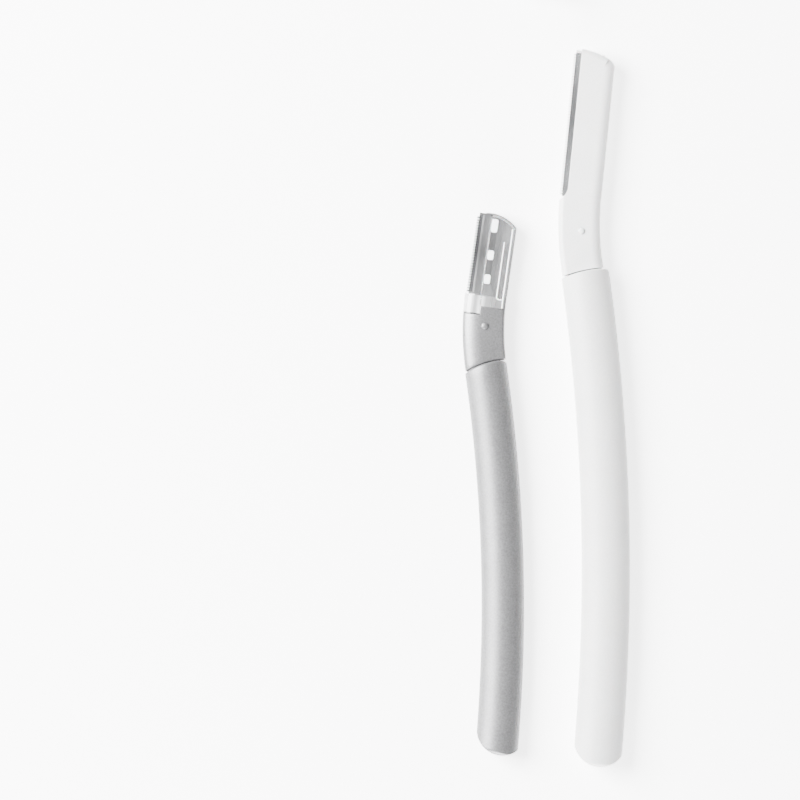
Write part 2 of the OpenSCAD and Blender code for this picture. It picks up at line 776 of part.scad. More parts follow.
large_grip();
large_frame();
large_back_cheek();
large_blade();
large_guard();
large_cap();
small_grip();
small_neck();
small_holder();
small_back_cheek();
small_blade();
small_guard();
small_cap();
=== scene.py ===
"""Looks of a set of two eyebrow razors, a large white one and a small silver-grey one, with their caps."""

import logging
import math
from dataclasses import dataclass
from enum import Enum
from types import MappingProxyType
from typing import Mapping, Sequence

import bmesh
import bpy
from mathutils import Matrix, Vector


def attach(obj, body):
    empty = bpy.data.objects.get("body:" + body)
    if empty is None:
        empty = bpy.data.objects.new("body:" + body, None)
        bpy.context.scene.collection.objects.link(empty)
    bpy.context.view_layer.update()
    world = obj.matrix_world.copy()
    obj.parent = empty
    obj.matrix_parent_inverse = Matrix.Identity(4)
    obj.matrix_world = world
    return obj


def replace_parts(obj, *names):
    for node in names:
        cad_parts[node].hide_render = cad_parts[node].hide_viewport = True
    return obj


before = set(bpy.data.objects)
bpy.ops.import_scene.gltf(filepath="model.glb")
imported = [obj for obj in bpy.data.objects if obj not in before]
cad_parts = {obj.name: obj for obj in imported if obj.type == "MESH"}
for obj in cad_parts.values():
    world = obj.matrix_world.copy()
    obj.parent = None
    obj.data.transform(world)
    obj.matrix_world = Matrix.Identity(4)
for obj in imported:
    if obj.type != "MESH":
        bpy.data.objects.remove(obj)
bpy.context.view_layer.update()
MM = 0.001
QUARTER_TURN = math.pi / 2
UP = Vector((0.0, 0.0, 1.0))
LOG = logging.getLogger("razors")

Node = bpy.types.NodeSocket
Triple = tuple[float, float, float]
Colour = Triple
Span = tuple[float, float]


class Slot(Enum):
    """The record's material slots."""

    WHITE = "white_plastic"
    GREY = "silver_grey"
    CLEAR = "clear_plastic"
    BLADE = "blade_steel"
    WHITE_GUARD = "guard_white"
    STEEL_GUARD = "guard_steel"
    CAP = "milky_cap"


class Socket(Enum):
    """Names of the shader sockets that the finishes drive."""

    COLOUR = "Base Color"
    ROUGHNESS = "Roughness"
    METAL = "Metallic"
    ALPHA = "Alpha"
    NORMAL = "Normal"


def between(start: float, end: float, steps: int) -> list[float]:
    """Evenly spread values from start to end, both included."""
    return [start + (end - start) * i / steps for i in range(steps + 1)]


def straight(start: Span, end: Span, steps: int) -> list[Span]:
    """Evenly spread places from start to end, both included."""
    return list(zip(between(start[0], end[0], steps), between(start[1], end[1], steps)))


def arc(centre: Span, radius: float, start: float, end: float, steps: int) -> list[Span]:
    """Evenly spread places on an arc between two angles, both included."""
    return [(centre[0] + radius * math.cos(angle), centre[1] + radius * math.sin(angle))
            for angle in between(start, end, steps)]


def circle(centre: Span, radius: float, count: int) -> list[Span]:
    """Evenly spread places on a circle."""
    return arc(centre, radius, 0.0, 4 * QUARTER_TURN, count)[:-1]


def cool_grey(tone: float, cast: float = 0.01) -> Colour:
    """Grey whose blue is stronger by the cast."""
    return (tone, tone * (1 + cast / 2), tone * (1 + cast))


def dimmed(colour: Colour, share: float) -> Colour:
    """A share of a colour."""
    return (colour[0] * share, colour[1] * share, colour[2] * share)


class Skin:
    """Mesh of one or more closed forms, each laid over rings that have the same number of points.

    Args:
        name: The piece's name.
    """

    MERGE_MM = 0.002
    SHORT_MM = 0.0005
    SHARP_DEG = 40.0

    def __init__(self, name: str) -> None:
        """Starts with no points."""
        self.name = name
        self.form = bmesh.new()
        self.rings: list[list[bmesh.types.BMVert]] = []

    def start(self) -> None:
        """Starts the mesh's next form."""
        self.rings.clear()

    def ring(self, points: Sequence[Vector]) -> None:
        """Adds a ring and joins it to the one before.

        Args:
            points: The ring's points in order, in metres.
        """
        made = [self.form.verts.new(point) for point in points]
        if self.rings:
            last = self.rings[-1]
            for i in range(len(made)):
                j = (i + 1) % len(made)
                self.form.faces.new((last[i], last[j], made[j], made[i]))
        self.rings.append(made)

    def close(self, *ends: int) -> None:
        """Closes flat ends with one face each, 0 for the first ring and -1 for the last."""
        for index in ends:
            self.form.faces.new(self.rings[index])

    def zip(self, *ends: int) -> None:
        """Closes ends with strips between a ring's first half and its second half.

        Args:
            ends: Which rings end there, 0 for the first and -1 for the last.
        """
        for index in ends:
            ring = self.rings[index]
            last = len(ring) - 1
            for i in range(len(ring) // 2 - 1):
                self.form.faces.new((ring[i], ring[i + 1], ring[last - i - 1], ring[last - i]))

    def make(self, material: bpy.types.Material, body: str, slot: Slot) -> bpy.types.Object:
        """Turns the rings into a piece.

        Args:
            material: Its finish.
            body: The CAD body that it rides on.
            slot: The record's material slot; not used.

        Returns:
            The piece.
        """
        bmesh.ops.remove_doubles(self.form, verts=self.form.verts, dist=self.MERGE_MM * MM)
        bmesh.ops.dissolve_degenerate(self.form, edges=self.form.edges, dist=self.SHORT_MM * MM)
        bmesh.ops.recalc_face_normals(self.form, faces=self.form.faces)
        mesh = bpy.data.meshes.new(self.name)
        self.form.to_mesh(mesh)
        self.form.free()
        mesh.polygons.foreach_set("use_smooth", [True] * len(mesh.polygons))
        mesh.set_sharp_from_angle(angle=math.radians(self.SHARP_DEG))
        mesh.materials.append(material)
        piece = bpy.data.objects.new(self.name, mesh)
        bpy.context.scene.collection.objects.link(piece)
        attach(piece, body)
        LOG.info("built %s: %d points, %s", self.name, len(mesh.vertices), material.name)
        return piece


def dress(node: str, material: bpy.types.Material) -> None:
    """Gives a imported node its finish.

    Args:
        node: The node's name.
        material: Its material.
    """
    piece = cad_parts[node]
    piece.data.materials.clear()
    piece.data.materials.append(material)
    LOG.info("dressed %s in %s", node, material.name)


@dataclass(frozen=True)
class HeadFrame:
    """Frame of a razor's head: u to the spine side, v to the tip, and v below 0 round the neck's bend."""

    origin_mm: Triple
    lean_deg: float
    bend: float

    def place(self, u: float, v: float, z: float) -> Vector:
        """Place of a point of the head or the neck.

        Args:
            u: How far it lies to the spine side, in millimetres.
            v: How far it lies towards the tip.
            z: How far it lies above the head's middle.

        Returns:
            The place in metres.
        """
        if v < 0:
            reach, angle = self.bend - u, v / self.bend
            u, v = self.bend - reach * math.cos(angle), reach * math.sin(angle)
        lean = math.radians(self.lean_deg)
        x, y, height = self.origin_mm
        return Vector((x + u * math.cos(lean) + v * math.sin(lean),
                       y - u * math.sin(lean) + v * math.cos(lean), height + z)) * MM

    def circle(self, centre: Span, radius: float, z: float, count: int = 32) -> list[Vector]:
        """Ring of points round a place of the head."""
        return [self.place(u, v, z) for u, v in circle(centre, radius, count)]


@dataclass(frozen=True)
class Stud:
    """Low round stud with a softly flattened top, its foot sunk into the face, in millimetres."""

    centre: Span
    radius: float
    height: float
    sunk: float = 0.25
    flatness: float = 0.8
    tip_share: float = 0.001
    steps: int = 8

    def dome(self, name: str, head: HeadFrame, face: float) -> Skin:
        """Lays the stud's dome.

        Args:
            name: The piece's name.
            head: The head's frame.
            face: Height of the face that it stands on.

        Returns:
            The dome's mesh.
        """
        skin = Skin(name)
        skin.ring(head.circle(self.centre, self.radius, face - self.sunk))
        for angle in between(0.0, QUARTER_TURN, self.steps):
            skin.ring(head.circle(self.centre, self.radius * max(math.cos(angle), self.tip_share),
                                  face + self.height * math.sin(angle) ** self.flatness))
        skin.close(0, -1)
        return skin


@dataclass(frozen=True)
class Bead:
    """Rounded edge on a head's face: its route in u and v, the depth of its middle and its radius."""

    route: Sequence[Span]
    depth: float
    radius: float
    sides: int = 10
    end: tuple[Span, ...] = ((1.0, 0.0), (0.8, 0.5), (0.35, 0.9))

    def lay(self, skin: Skin, head: HeadFrame, face: float) -> None:
        """Adds the bead to a mesh, with rounded ends.

        Args:
            skin: The mesh that it goes into.
            head: The head's frame.
            face: Height of the head's face.
        """
        skin.start()
        points = [head.place(u, v, face - self.depth) for u, v in self.route]
        for i, point in enumerate(points):
            ahead = (points[min(i + 1, len(points) - 1)] - points[max(i - 1, 0)]).normalized()
            side = ahead.cross(UP)
            rounds: Sequence[Span] = self.end[:1]
            if i == 0:
                rounds = [(share, -past) for share, past in reversed(self.end)]
            elif i == len(points) - 1:
                rounds = self.end
            for share, past in rounds:
                middle = point + ahead * past * self.radius * MM
                skin.ring([middle + side * x + UP * z
                           for x, z in circle((0.0, 0.0), self.radius * share * MM, self.sides)])
        skin.close(0, -1)


class NodeBench:
    """Lays out one material's nodes.

    Args:
        name: The material's name.
    """

    CLOUD_SPAN = (0.35, 0.65)
    CREVICE_SPAN = (0.25, 0.75)
    CREVICE_SAMPLES = 8
    EASE_SAMPLES = 6

    def __init__(self, name: str) -> None:
        """Starts an empty material with a surface shader and an output."""
        self.material: bpy.types.Material = bpy.data.materials.new(name)
        self.material.use_nodes = True
        self.tree = self.material.node_tree
        self.tree.nodes.clear()
        self.shader = self.add("BsdfPrincipled")
        self.add("OutputMaterial", {}, {"Surface": self.shader.outputs[0]})
        self.place = self.add("TexCoord").outputs["Object"]

    def add(self, kind: str, values: Mapping[str, object] = MappingProxyType({}),
            links: Mapping[str | int, Node] = MappingProxyType({}), **options: object) -> bpy.types.Node:
        """Adds a node.

        Args:
            kind: Its type, without the start that all types share.
            values: Constants for its inputs.
            links: The sockets that feed its inputs.
            options: Its own settings, such as an operation.

        Returns:
            The node.
        """
        node = self.tree.nodes.new("ShaderNode" + kind)
        for name, value in options.items():
            setattr(node, name, value)
        for name, value in values.items():
            node.inputs[name].default_value = value
        for name, source in links.items():
            self.tree.links.new(source, node.inputs[name])
        return node

    def set(self, **values: object) -> None:
        """Sets constants on the surface shader, underscores standing for spaces."""
        for name, value in values.items():
            self.shader.inputs[name.replace("_", " ")].default_value = value

    def drive(self, source: Node, socket: Socket) -> None:
        """Joins a socket to the surface shader."""
        self.tree.links.new(source, self.shader.inputs[socket.value])

    def on_head(self, head: HeadFrame, stretch: Triple = (1.0, 1.0, 1.0)) -> Node:
        """Place in the frame of a razor's head, scaled along the head's width, length and height."""
        moved = self.add("Mapping", {"Location": [c * MM for c in head.origin_mm],
                                     "Rotation": (0.0, 0.0, -math.radians(head.lean_deg))},
                         {"Vector": self.place}, vector_type="TEXTURE")
        return self.add("Mapping", {"Scale": stretch}, {"Vector": moved.outputs[0]}).outputs[0]

    def noise(self, size_mm: float, detail: float = 2.0, roughness: float = 0.5,
              place: Node | None = None) -> Node:
        """Noise with features of about the given size, read at a place or at the object's own."""
        values = {"Scale": 1.0 / (size_mm * MM), "Detail": detail, "Roughness": roughness}
        return self.add("TexNoise", values, {"Vector": place or self.place}).outputs["Fac"]

    def spread(self, source: Node, low: float, high: float, start: float = 0.3, end: float = 0.7) -> Node:
        """Stretches a value between start and end over low to high."""
        return self.add("MapRange", {"From Min": start, "From Max": end, "To Min": low, "To Max": high},
                        {"Value": source}).outputs[0]

    def step(self, source: Node, at_mm: float, soft_mm: float, low: float = 0.0, high: float = 1.0) -> Node:
        """Value that goes from low to high where a place passes a line."""
        return self.spread(source, low, high, (at_mm - soft_mm) * MM, (at_mm + soft_mm) * MM)

    def clouds(self, size_mm: float) -> Node:
        """Value that changes slowly between 0 and 1."""
        return self.spread(self.noise(size_mm, 3.0), 0.0, 1.0, *self.CLOUD_SPAN)

    def blend(self, factor: Node, first: Colour | Node, second: Colour | Node) -> Node:
        """Two colours mixed by a factor.

        Args:
            factor: The factor's socket.
            first: Colour at 0, or its socket.
            second: Colour at 1, or its socket.

        Returns:
            The mixed colour's socket.
        """
        sides = {"A": first, "B": second}
        plain = {name: (*side, 1.0) for name, side in sides.items() if isinstance(side, tuple)}
        links = {name: side for name, side in sides.items() if not isinstance(side, tuple)}
        return self.add("Mix", plain, {"Factor": factor, **links}, data_type="RGBA").outputs["Result"]

    def ramp(self, source: Node, stops: Sequence[Span]) -> Node:
        """Grey tones laid out along a value in metres.

        Args:
            source: The value's socket.
            stops: Pairs of a place in millimetres and the tone there, in order.

        Returns:
            The tone's colour socket.
        """
        first, last = stops[0][0], stops[-1][0]
        along = self.spread(source, 0.0, 1.0, first * MM, last * MM)
        node = self.add("ValToRGB", {}, {"Fac": along})
        points = node.color_ramp.elements
        while len(points) < len(stops):
            points.new(0.5)
        for point, (place_mm, tone) in zip(points, stops):
            point.position = (place_mm - first) / (last - first)
            point.color = (*cool_grey(tone), 1.0)
        return node.outputs["Color"]

    def tint(self, colour: Node, factor: Node) -> Node:
        """A colour made lighter or darker by a factor."""
        return self.add("VectorMath", {}, {0: colour, "Scale": factor}, operation="SCALE").outputs[0]

    def most(self, first: Node, second: Node) -> Node:
        """The larger one of two values."""
        return self.add("Math", {}, {0: first, 1: second}, operation="MAXIMUM").outputs[0]

    def crevice_shade(self, reach_mm: float, dark: float) -> Node:
        """Painted shade: a factor that falls from 1 to a dark one within reach of the walls of grooves and
        corners.
        """
        shade = self.add("AmbientOcclusion", {"Distance": reach_mm * MM}, samples=self.CREVICE_SAMPLES)
        return self.spread(shade.outputs["AO"], dark, 1.0, *self.CREVICE_SPAN)

    def rims(self, body: float, rim: float, bias: float, start: float) -> Node:
        """Opacity that rises from the body's to the rim's where the surface turns away."""
        facing = self.add("LayerWeight", {"Blend": bias})
        return self.spread(facing.outputs["Facing"], body, rim, start, 1.0)

    def parts(self, place: Node) -> bpy.types.NodeOutputs:
        """The sockets X, Y and Z of a place."""
        return self.add("SeparateXYZ", {}, {0: place}).outputs

    def texture(self, grain: Node, rough: Span, depth_mm: float, edge_mm: float = 0.0) -> None:
        """Lets a grain drive the roughness and a fine relief, over softly rounded edges.

        Args:
            grain: The grain's socket, 0 to 1.
            rough: Roughness in its low and its high places.
            depth_mm: Depth of the relief in millimetres.
            edge_mm: Radius that sharp edges are eased by, or 0.
        """
        links = {"Height": grain}
        if edge_mm > 0:
            ease = self.add("Bevel", {"Radius": edge_mm * MM}, samples=self.EASE_SAMPLES)
            links["Normal"] = ease.outputs[0]
        bump = self.add("Bump", {"Strength": 1.0, "Distance": depth_mm * MM}, links)
        self.drive(bump.outputs[0], Socket.NORMAL)
        self.drive(self.spread(grain, *rough), Socket.ROUGHNESS)


@dataclass(frozen=True)
class SatinWhite:
    """White moulded plastic with slow clouds, a fine spark-eroded grain and painted shade in its grooves."""

    name: str = "satin_white_plastic"
    colour: Colour = (0.55, 0.55, 0.546)
    shade: Colour = (0.53, 0.53, 0.526)
    rough: Span = (0.36, 0.52)
    cloud_mm: float = 6.0
    grain_mm: float = 0.4
    grain_depth_mm: float = 0.012
    speck: float = 0.05
    # groove shade: painted shade that darkens the colour near grooves and corners, its darkest factor and
    # its reach
    groove_shade: float = 0.3
    groove_shade_reach_mm: float = 0.8
    specular: float = 0.45
    scatter: float = 0.08
    scatter_mm: float = 1.2
    flake: Span | None = None
    edge_mm: float = 0.12

    def make(self) -> bpy.types.Material:
        """Builds the material.

        Returns:
            The material.
        """
        bench = NodeBench(self.name)
        bench.set(Specular_IOR_Level=self.specular, Subsurface_Weight=self.scatter,
                  Subsurface_Scale=self.scatter_mm * MM, IOR=1.5)
        grain = bench.noise(self.grain_mm, 2.0, 0.6)
        specks = bench.spread(grain, 1.0 - self.speck, 1.0 + self.speck)
        tone = bench.tint(bench.blend(bench.clouds(self.cloud_mm), self.colour, self.shade), specks)
        # painted shade darkens the colour in grooves and corners
        bench.drive(bench.tint(tone, bench.crevice_shade(self.groove_shade_reach_mm, self.groove_shade)), Socket.COLOUR)
        if self.flake:
            bench.drive(bench.spread(grain, *self.flake), Socket.METAL)
        bench.texture(grain, self.rough, self.grain_depth_mm, self.edge_mm)
        return bench.material


@dataclass(frozen=True)
class SilverGrey(SatinWhite):
    """Silver-grey plastic with fine metal flake in it."""

    name: str = "silver_grey_plastic"
    colour: Colour = (0.165, 0.165, 0.168)
    shade: Colour = (0.155, 0.155, 0.158)
    rough: Span = (0.4, 0.48)
    cloud_mm: float = 5.0
    grain_depth_mm: float = 0.01
    speck: float = 0.2
    # painted shade in grooves and corners
    groove_shade: float = 0.4
    groove_shade_reach_mm: float = 0.7
    specular: float = 0.5
    scatter: float = 0.0
    flake: Span | None = (0.5, 0.65)


@dataclass(frozen=True)
class ClearPlastic:
    """See-through moulded plastic with flow streaks along the head, denser at its rims and in its foot. Its
    grey tone is painted shade for the darkening by refraction, its foot carries painted bands of refracted
    light and shade, and a painted shadow lies along the joint to the neck.
    """

    name: str
    head: HeadFrame
    # tone and cast: painted shade, a grey that stands in for the darkening by refraction
    tone: float = 0.4
    cast: float = 0.02
    body: float = 0.14
    rim: float = 0.9
    rim_bias: float = 0.3
    rim_start: float = 0.2
    foot: float = 0.97
    foot_top_mm: float = -0.6
    foot_soft_mm: float = 0.2
    # foot tones: painted bands of refracted light and shade across the clear foot
    foot_painted_light: tuple[Span, ...] = (
        (-4.9, 0.2), (-4.5, 0.42), (-3.1, 0.5), (-2.4, 0.24), (-1.9, 0.26), (-1.2, 0.55), (-0.7, 0.45),
        (0.2, 0.19), (1.5, 0.16), (4.9, 0.12))
    # joint: painted shadow in the gap where the clear block meets the neck
    joint_mm: float = -4.72
    joint_soft_mm: float = 0.1
    joint_shade_tone: float = 0.12
    streak_mm: float = 0.9
    streak_stretch: Triple = (1.0, 0.14, 1.0)
    streak_tones: Span = (0.75, 1.3)
    streak_depth_mm: float = 0.006
    rough: Span = (0.08, 0.16)
    edge_mm: float = 0.1

    def make(self) -> bpy.types.Material:
        """Builds the material.

        Returns:
            The material.
        """
        bench = NodeBench(self.name)
        bench.set(Specular_IOR_Level=0.6, IOR=1.49)
        place = bench.parts(bench.on_head(self.head))
        streaks = bench.noise(self.streak_mm, 3.0, 0.55, bench.on_head(self.head, self.streak_stretch))
        above = bench.step(place["Y"], self.foot_top_mm, self.foot_soft_mm)
        # painted light and shade: refraction tones in the foot, painted grey tone above it
        tones = bench.blend(above, bench.ramp(place["X"], self.foot_painted_light), cool_grey(self.tone, self.cast))
        # painted shadow along the joint to the neck
        joint_shadow = bench.step(place["Y"], self.joint_mm, self.joint_soft_mm, self.joint_shade_tone)
        bench.drive(bench.tint(bench.tint(tones, bench.spread(streaks, *self.streak_tones)), joint_shadow),
                    Socket.COLOUR)
        bench.texture(streaks, self.rough, self.streak_depth_mm, self.edge_mm)
        dense = bench.rims(self.body, self.rim, self.rim_bias, self.rim_start)
        bench.drive(bench.most(dense, bench.spread(above, self.foot, 0.0, 0.0, 1.0)), Socket.ALPHA)
        return bench.material


@dataclass(frozen=True)
class ClearEdge:
    """Rounded edge of the clear plastic, painted near white as a highlight for the light that it gathers."""

    name: str = "clear_plastic_edge_painted_highlight"
    # colour: painted highlight
    colour: Colour = (0.93, 0.935, 0.94)
    solid: float = 0.92
    # glow: painted light, an emission for a part that is no lamp
    glow: float = 0.0
    flow_mm: float = 0.7
    flow_share: float = 0.93
    flow_depth_mm: float = 0.004
    rough: Span = (0.08, 0.2)
    edge_mm: float = 0.0
    specular: float = 0.7
    scatter: float = 0.2
    scatter_mm: float = 0.3

    def make(self) -> bpy.types.Material:
        """Builds the material.

        Returns:
            The material.
        """
        bench = NodeBench(self.name)
        bench.set(Specular_IOR_Level=self.specular, IOR=1.49, Alpha=self.solid,
                  Subsurface_Weight=self.scatter, Subsurface_Scale=self.scatter_mm * MM,
                  Emission_Color=(*self.colour, 1.0), Emission_Strength=self.glow)
        flow = bench.noise(self.flow_mm)
        bench.drive(bench.blend(flow, self.colour, dimmed(self.colour, self.flow_share)), Socket.COLOUR)
        bench.texture(flow, self.rough, self.flow_depth_mm, self.edge_mm)
        return bench.material


@dataclass(frozen=True)
class MilkyTeeth(ClearEdge):
    """White translucent plastic of the large comb guard, its colour held at a mid grey as painted shade."""

    name: str = "milky_teeth_plastic"
    # mid grey: painted shade on the white guard
    colour: Colour = (0.62, 0.625, 0.63)
    solid: float = 0.75
    flow_mm: float = 0.2
    flow_share: float = 0.94
    flow_depth_mm: float = 0.003
    rough: Span = (0.28, 0.4)
    edge_mm: float = 0.05
    specular: float = 0.5
    scatter_mm: float = 0.4


@dataclass(frozen=True)
class MilkyPlastic:
    """Thin milky plastic that lets light through."""

    name: str = "milky_plastic"
    colour: Colour = (0.72, 0.728, 0.732)
    body: float = 0.5
    rim: float = 0.95
    rim_bias: float = 0.35
    rim_start: float = 0.1
    cloud_mm: float = 4.0
    cloud_share: float = 0.97
    grain_mm: float = 0.25
    grain_depth_mm: float = 0.004
    rough: Span = (0.26, 0.38)
    edge_mm: float = 0.12
    scatter: float = 0.25
    scatter_mm: float = 1.5

    def make(self) -> bpy.types.Material:
        """Builds the material.

        Returns:
            The material.
        """
        bench = NodeBench(self.name)
        bench.set(Specular_IOR_Level=0.5, IOR=1.46, Subsurface_Weight=self.scatter,
                  Subsurface_Scale=self.scatter_mm * MM)
        grain = bench.noise(self.grain_mm)
        bench.drive(bench.blend(bench.clouds(self.cloud_mm), self.colour,
                                dimmed(self.colour, self.cloud_share)), Socket.COLOUR)
        bench.texture(grain, self.rough, self.grain_depth_mm, self.edge_mm)
        bench.drive(bench.rims(self.body, self.rim, self.rim_bias, self.rim_start), Socket.ALPHA)
        return bench.material


@dataclass(frozen=True)
class GroundSteel:
    """Blade steel, brushed along its length, with a darker ground edge, partly its grinding finish and
    partly painted shade.
    """

    name: str
    head: HeadFrame
    bevel_end_mm: float
    ground_and_shade: Colour = (0.19, 0.192, 0.196)
    colour: Colour = (0.6, 0.603, 0.61)
    bevel_soft_mm: float = 0.04
    line_mm: float = 0.06
    line_stretch: Triple = (1.0, 0.03, 1.0)
    line_depth_mm: float = 0.001
    rough: Span = (0.16, 0.26)

    def make(self) -> bpy.types.Material:
        """Builds the material.

        Returns:
            The material.
        """
        bench = NodeBench(self.name)
        bench.set(Metallic=1.0, Anisotropic=0.4)
        lines = bench.noise(self.line_mm, 3.0, 0.6, bench.on_head(self.head, self.line_stretch))
        place = bench.parts(bench.on_head(self.head))
        body = bench.step(place["X"], self.bevel_end_mm, self.bevel_soft_mm)
        # darker band at the edge: ground finish and painted shade
        bench.drive(bench.blend(body, self.ground_and_shade, self.colour), Socket.COLOUR)
        bench.texture(lines, self.rough, self.line_depth_mm)
        return bench.material


@dataclass(frozen=True)
class EtchedSteel:
    """Etched steel of the small comb guard, dark in its teeth."""

    head: HeadFrame
    teeth_end_mm: float
    name: str = "etched_guard_steel"
    teeth: Colour = (0.05, 0.051, 0.053)
    colour: Colour = (0.55, 0.552, 0.56)
    teeth_soft_mm: float = 0.05
    pit_mm: float = 0.08
    pit_tones: Span = (0.85, 1.2)
    pit_depth_mm: float = 0.0006
    rough: Span = (0.18, 0.3)

    def make(self) -> bpy.types.Material:
        """Builds the material.

        Returns:
            The material.
        """
        bench = NodeBench(self.name)
        bench.set(Metallic=1.0)
        place = bench.parts(bench.on_head(self.head))
        body = bench.step(place["X"], self.teeth_end_mm, self.teeth_soft_mm)
        pits = bench.noise(self.pit_mm, 3.0, 0.7)
        bench.drive(bench.tint(bench.blend(body, self.teeth, self.colour),
                               bench.spread(pits, *self.pit_tones)), Socket.COLOUR)
        bench.texture(pits, self.rough, self.pit_depth_mm)
        return bench.material


@dataclass(frozen=True)
class PaleFloor:
    """Plain pale light table."""

    name: str = "pale_floor"
    colour: Colour = (0.9, 0.9, 0.9)
    glow: float = 3.2
    cloud_mm: float = 30.0
    rough: Span = (0.85, 0.95)

    def make(self) -> bpy.types.Material:
        """Builds the material.

        Returns:
            The material.
        """
        bench = NodeBench(self.name)
        bench.set(Base_Color=(*self.colour, 1.0), Specular_IOR_Level=0.1,
                  Emission_Color=(1.0, 1.0, 1.0, 1.0), Emission_Strength=self.glow)
        bench.drive(bench.spread(bench.noise(self.cloud_mm), *self.rough), Socket.ROUGHNESS)
        return bench.material


@dataclass(frozen=True)
class GripForm:
    """Sizes of a grip in millimetres, and the smooth shell that they give.

    Places are given across the grip from its bowed centreline, along that line from the bow's middle,
    and in height from the grip's middle.
    """

    width: float
    thickness: float
    bow: float
    upper: float
    lower: float
    wall: float
    side_round: float
    under_round: float
    end_radius: float
    end_shift: float
    mouth_radius: float
    mouth_shift: float
    tang: float
    tang_thickness: float
    offset: Span = (0.0, 0.0)
    end_round: float = 1.2
    mouth_round: float = 0.35
    bore_round: float = 0.5
    bore_gap: float = 0.6
    shoulder: Span = (1.3, 0.6)
    columns: int = 30
    wall_steps: int = 3
    lip_steps: int = 4
    fade_widths: float = 2.0
    fade_steps: int = 10
    pitch: float = 2.2
    end_lead: float = 1.0
    end_steps: int = 30

    def place(self, across: float, along: float, height: float) -> Vector:
        """Place of a point of the grip.

        Args:
            across: How far it lies across the grip, in millimetres.
            along: How far it lies along the grip.
            height: How far it lies above the grip's middle.

        Returns:
            The place in metres.
        """
        angle = along / self.bow
        reach = self.bow + across
        return Vector((self.offset[0] - self.bow + reach * math.cos(angle),
                       self.offset[1] + reach * math.sin(angle), self.thickness / 2 + height)) * MM

    def top(self, across: float) -> float:
        """Height of the domed top.

        Args:
            across: Place across the grip.

        Returns:
            The height in millimetres.
        """
        reach = self.width / 2 - self.side_round
        half = self.thickness / 2
        dome = (reach**2 + half**2 - self.side_round**2) / (self.thickness - 2 * self.side_round)
        x = min(abs(across), self.width / 2)
        if x <= reach * dome / (dome - self.side_round):
            return half - dome + math.sqrt(dome**2 - x**2)
        return math.sqrt(max(0.0, self.side_round**2 - (x - reach) ** 2))

    def under(self, across: float) -> float:
        """Height of the flat underside with its rounded edges."""
        past = max(0.0, min(abs(across), self.width / 2) - (self.width / 2 - self.under_round))
        return self.under_round - self.thickness / 2 - math.sqrt(max(0.0, self.under_round**2 - past**2))

    def bore(self, across: float) -> float:
        """Half height of the bore."""
        past = max(0.0, abs(across) - (self.width / 2 - self.wall - self.bore_round))
        return self.tang_thickness / 2 - self.bore_round + math.sqrt(max(0.0, self.bore_round**2 - past**2))

    def mouth(self, across: float) -> float:
        """Place along the grip where its arched mouth lies.

        Args:
            across: Place across the grip.

        Returns:
            The place along the grip.
        """
        angle = (self.upper - self.mouth_radius) / self.bow
        arm = self.bow + self.mouth_shift
        reach = self.bow + across
        turn = math.acos((reach**2 + arm**2 - self.mouth_radius**2) / (2 * reach * arm))
        return (angle + turn) * self.bow

    def rim(self, inside: float) -> float:
        """Height that the end's rounding allows at a distance inside its outline."""
        short = max(0.0, self.end_round - inside)
        return self.thickness / 2 - self.end_round + math.sqrt(max(0.0, self.end_round**2 - short**2))

    def spread(self, left: float, right: float) -> list[float]:
        """Places across the grip of the columns between two sides, close together near the sides."""
        return [left + (right - left) * (1 - math.cos(angle)) / 2
                for angle in between(0.0, math.pi, self.columns)]

    def outline(self, across: Sequence[float], along: Sequence[float], top: Sequence[float],
                under: Sequence[float]) -> list[Vector]:
        """One ring of the shell.

        Args:
            across: Places across the grip of the columns.
            along: Their places along the grip.
            top: Heights of the top at the columns.
            under: Heights of the underside at the columns.

        Returns:
            The ring's points: over the top, down the right side, back under it and up the left side.
        """
        steps = between(0.0, 1.0, self.wall_steps + 1)[1:-1]
        ring = [self.place(*column) for column in zip(across, along, top)]
        ring += [self.place(across[-1], along[-1], top[-1] + (under[-1] - top[-1]) * k) for k in steps]
        ring += [self.place(*column) for column in zip(across, along, under)][::-1]
        ring += [self.place(across[0], along[0], under[0] + (top[0] - under[0]) * k) for k in steps]
        return ring

    def bore_ring(self, across: Sequence[float], along: Sequence[float]) -> list[Vector]:
        """Ring of the bore's section through columns across and along the grip."""
        heights = [self.bore(x) for x in across]
        return self.outline(across, along, heights, [-height for height in heights])

    def end_ring(self, beyond: float) -> list[Vector]:
        """Ring at a distance beyond the centre of the closed end.

        Args:
            beyond: The distance in millimetres.

        Returns:
            The ring's points.
        """
        centre = self.bow + self.end_shift
        half = math.sqrt(max(0.0, self.end_radius**2 - beyond**2))
        left, right = (math.sqrt((self.bow + side * self.width / 2) ** 2 - beyond**2) - centre
                       for side in (-1, 1))
        columns = self.spread(max(-half, left), min(half, right))
        across = [math.hypot(centre + x, beyond) - self.bow for x in columns]
        along = [-self.lower - self.bow * math.atan2(beyond, centre + x) for x in columns]
        rims = [self.rim(self.end_radius - math.hypot(x, beyond)) for x in columns]
        return self.outline(across, along, [min(self.top(x), rim) for x, rim in zip(across, rims)],
                            [max(self.under(x), -rim) for x, rim in zip(across, rims)])

